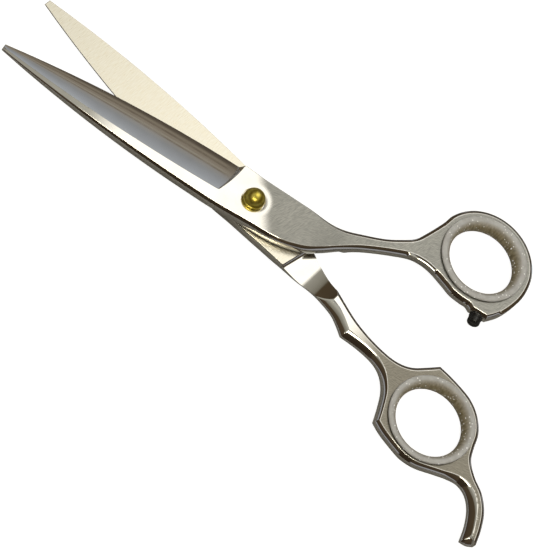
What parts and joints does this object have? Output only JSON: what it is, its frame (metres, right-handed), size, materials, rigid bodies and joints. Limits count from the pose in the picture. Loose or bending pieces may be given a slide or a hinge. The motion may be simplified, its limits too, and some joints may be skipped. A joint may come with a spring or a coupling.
{
  "type": "hair cutting shears",
  "caption": "Hair cutting shears with hollow-ground leaf blades, offset finger rings with soft inserts, a finger tang, a bumper and an adjustable pivot.",
  "frame": {"origin": "on the pivot axis, at the tension nut's back face", "axes": "+X from the pivot towards the finger rings, half way between the two halves; +Z along the pivot axis towards the show side; +Y towards the thumb ring"},
  "size_m": [0.1766, 0.0864, 0.0105],
  "materials": {
    "polished_steel": "mirror polished, with satin and cross-ground faces",
    "brass": "polished",
    "nylon": "matte",
    "spring_steel": "satin",
    "clear_silicone": "translucent with fine glitter",
    "black_rubber": "satin"
  },
  "bodies": {
    "finger_side": {"finger_half": "polished_steel", "finger_ring_insert": "clear_silicone", "pivot_bush": "nylon", "glide_washer": "nylon", "spring_washer": "spring_steel", "flat_washer": "spring_steel"},
    "thumb_side": {"thumb_half": "polished_steel", "thumb_ring_insert": "clear_silicone", "pivot_stud": "brass", "bumper": "black_rubber", "bumper_stud": "spring_steel"},
    "nut": {"tension_nut": "brass"}
  },
  "joints": [
    {"name": "blade_pivot", "type": "hinge", "parent": "finger_side", "child": "thumb_side", "pos_m": [0, 0, 0], "axis": [0, 0, 1], "range_deg": [-14.8, 100.2]},
    {"name": "tension_adjust", "type": "hinge", "parent": "thumb_side", "child": "nut", "pos_m": [0, 0, 0], "axis": [0, 0, 1], "range_deg": [-90, 90]}
  ]
}
